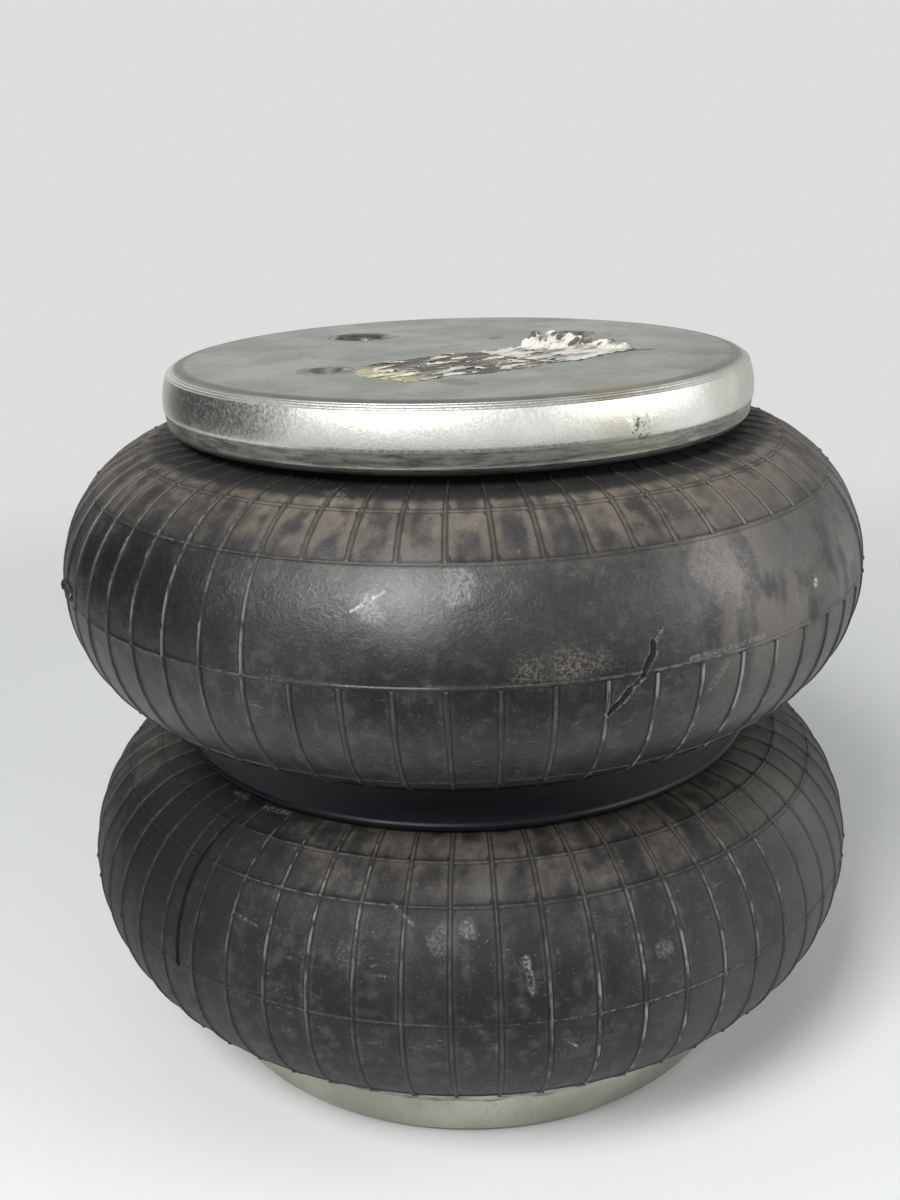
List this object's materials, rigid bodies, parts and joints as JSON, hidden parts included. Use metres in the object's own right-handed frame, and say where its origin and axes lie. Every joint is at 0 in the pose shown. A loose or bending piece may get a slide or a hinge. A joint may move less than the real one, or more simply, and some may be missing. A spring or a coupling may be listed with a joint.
{
  "type": "air suspension spring",
  "caption": "Double-convolution rubber air spring between two crimped steel bead plates, with a girdle hoop, blind nuts, an air inlet and a bump stop inside.",
  "frame": {"origin": "centre of the bottom plate's outer face, which is the bottom centre of the bounding box", "axes": "+Z along the spring's axis, from the bottom plate to the top plate; +X through both blind nuts of each plate; +Y from the axis to the air inlet"},
  "size_m": [0.396, 0.3958, 0.347],
  "materials": {
    "zinc_plate": "pressed sheet steel, dull zinc plating with handling stains",
    "turned_steel": "turned steel, bright zinc",
    "bead_wire": "brass-coated bead wire bundle",
    "bead_rubber": "hard bead rubber",
    "cover_rubber": "moulded outer cover, scuffed and dusty",
    "cord_ply": "rubbered nylon cord",
    "liner_rubber": "smooth airtight liner",
    "hoop_plastic": "moulded black polyamide, satin",
    "bump_rubber": "moulded block rubber"
  },
  "bodies": {
    "bottom": {"bottom_bead_plate": "zinc_plate", "bottom_blind_nut_left": "turned_steel", "bottom_blind_nut_right": "turned_steel", "bottom_bead_wire": "bead_wire", "bottom_bead_rubber": "bead_rubber", "lower_outer_cover": "cover_rubber", "lower_outer_ply": "cord_ply", "lower_inner_ply": "cord_ply", "lower_inner_liner": "liner_rubber", "bump_stop_base": "turned_steel", "bump_stop": "bump_rubber", "bump_stop_stud": "turned_steel", "bump_stop_washer": "turned_steel", "bump_stop_nut": "turned_steel"},
    "hoop": {"girdle_hoop": "hoop_plastic"},
    "top": {"top_bead_plate": "zinc_plate", "top_blind_nut_left": "turned_steel", "top_blind_nut_right": "turned_steel", "air_inlet_boss": "turned_steel", "top_bead_wire": "bead_wire", "top_bead_rubber": "bead_rubber", "upper_outer_cover": "cover_rubber", "upper_outer_ply": "cord_ply", "upper_inner_ply": "cord_ply", "upper_inner_liner": "liner_rubber"}
  },
  "joints": [
    {"name": "lower_stroke", "type": "slide", "parent": "bottom", "child": "hoop", "axis": [0, 0, 1], "range_m": [-0.11, 0], "stiffness_N_per_m": 2500, "springref_m": 0.04, "deforming": ["lower_outer_cover", "lower_outer_ply", "lower_inner_ply", "lower_inner_liner"]},
    {"name": "upper_stroke", "type": "slide", "parent": "hoop", "child": "top", "axis": [0, 0, 1], "range_m": [-0.11, 0], "stiffness_N_per_m": 2500, "springref_m": 0.04, "deforming": ["upper_outer_cover", "upper_outer_ply", "upper_inner_ply", "upper_inner_liner"]}
  ],
  "couplings": [
    {"joint": "upper_stroke", "follows": "lower_stroke", "ratio": 1}
  ]
}
